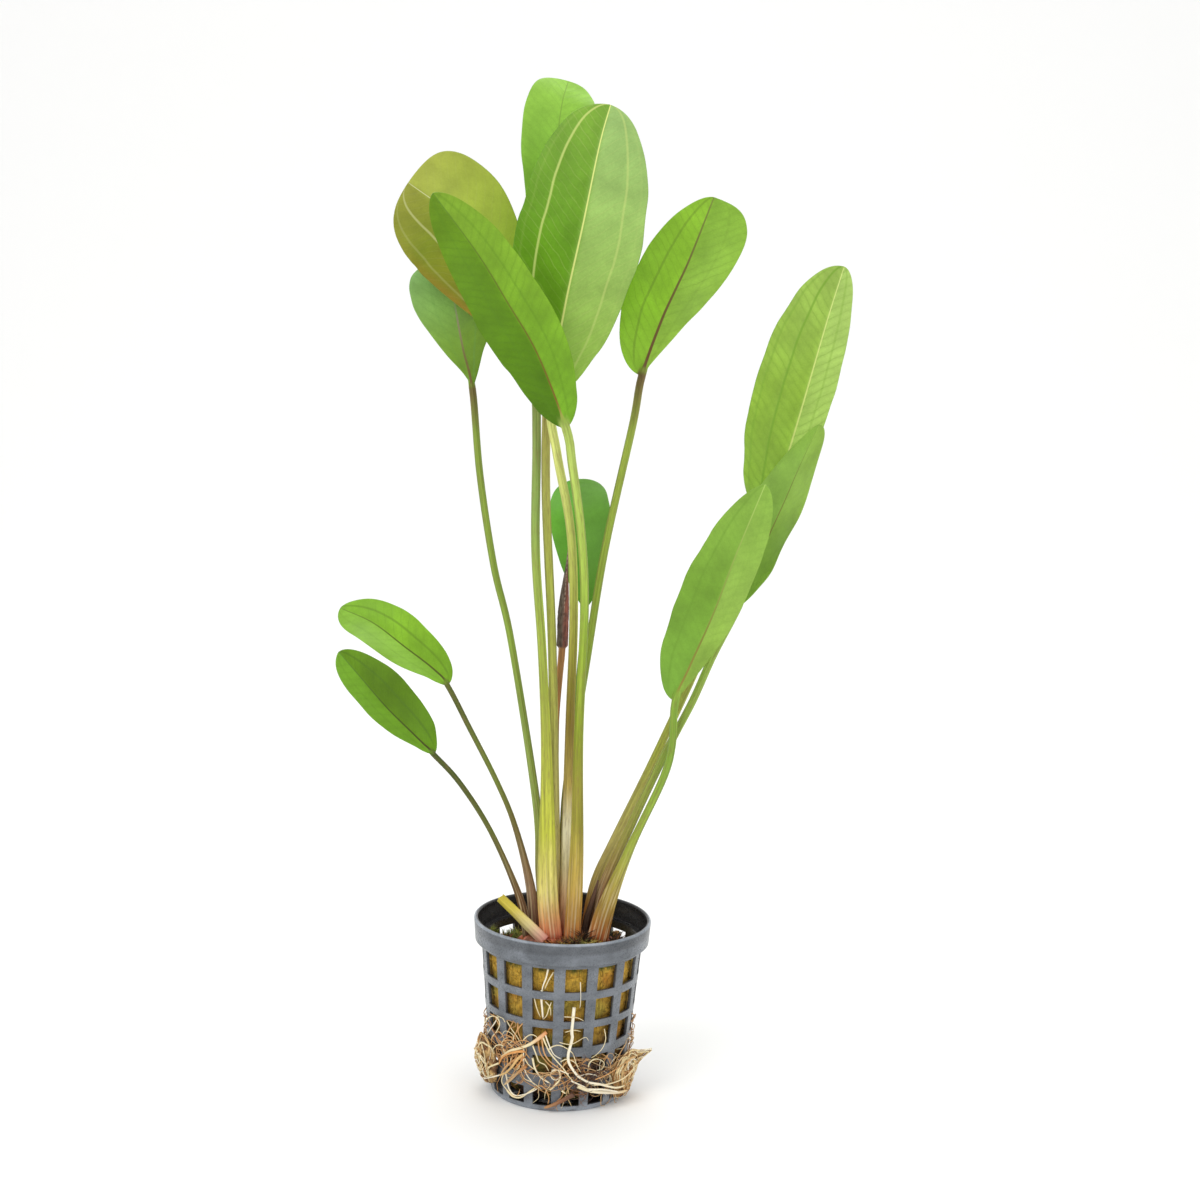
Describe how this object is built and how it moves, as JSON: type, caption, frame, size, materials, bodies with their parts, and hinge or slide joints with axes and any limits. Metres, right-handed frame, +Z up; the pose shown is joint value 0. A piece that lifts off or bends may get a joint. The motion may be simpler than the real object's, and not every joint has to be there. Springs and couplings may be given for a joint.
{
  "type": "potted aquatic plant",
  "caption": "Potted sword plant: long-stalked oval leaves fan out from a short crown on a rockwool plug in a tapered net pot, with roots out of its lower slots.",
  "frame": {"origin": "centre of the pot's underside, on the solid disc in its floor", "axes": "+Z up through the pot and the crown, -Y towards the viewer of the picture, +X to the viewer's right"},
  "size_m": [0.1551, 0.0691, 0.313],
  "materials": {
    "pot_plastic": "satin moulded plastic",
    "rockwool": "damp fibrous wool",
    "crown_flesh": "fleshy, matte",
    "leaf_green": "smooth leaf, satin",
    "leaf_deep_green": "smooth leaf, satin",
    "leaf_olive": "smooth leaf, satin",
    "dead_leaf": "shrivelled, matte",
    "cut_stalk": "fibrous, matte",
    "moss": "fuzzy",
    "gravel": "rough",
    "root_cream": "smooth root",
    "root_tan": "matte root"
  },
  "bodies": {
    "root": {"net_pot": "pot_plastic", "rockwool_plug": "rockwool", "crown": "crown_flesh", "leaf_tall_back": "leaf_green", "leaf_tall_centre": "leaf_green", "leaf_olive_left": "leaf_olive", "leaf_front_left": "leaf_green", "leaf_left": "leaf_deep_green", "leaf_right": "leaf_green", "leaf_far_right": "leaf_green", "leaf_low_right_back": "leaf_deep_green", "leaf_low_right_front": "leaf_green", "leaf_inner_back": "leaf_deep_green", "leaf_small_upper_left": "leaf_green", "leaf_small_lower_left": "leaf_green", "dead_leaf": "dead_leaf", "cut_stalk": "cut_stalk", "dry_sheath": "dead_leaf", "moss_tuft": "moss", "gravel_bit": "gravel", "root_left_main": "root_cream", "root_centre_main": "root_cream", "root_right_low": "root_cream", "root_left_upper": "root_tan", "root_left_lower": "root_tan", "root_brown": "root_tan", "root_arc_low": "root_cream", "root_arc_middle": "root_cream", "root_hook": "root_cream", "root_mat_left": "root_tan", "root_mat_right": "root_tan"}
  },
  "joints": []
}
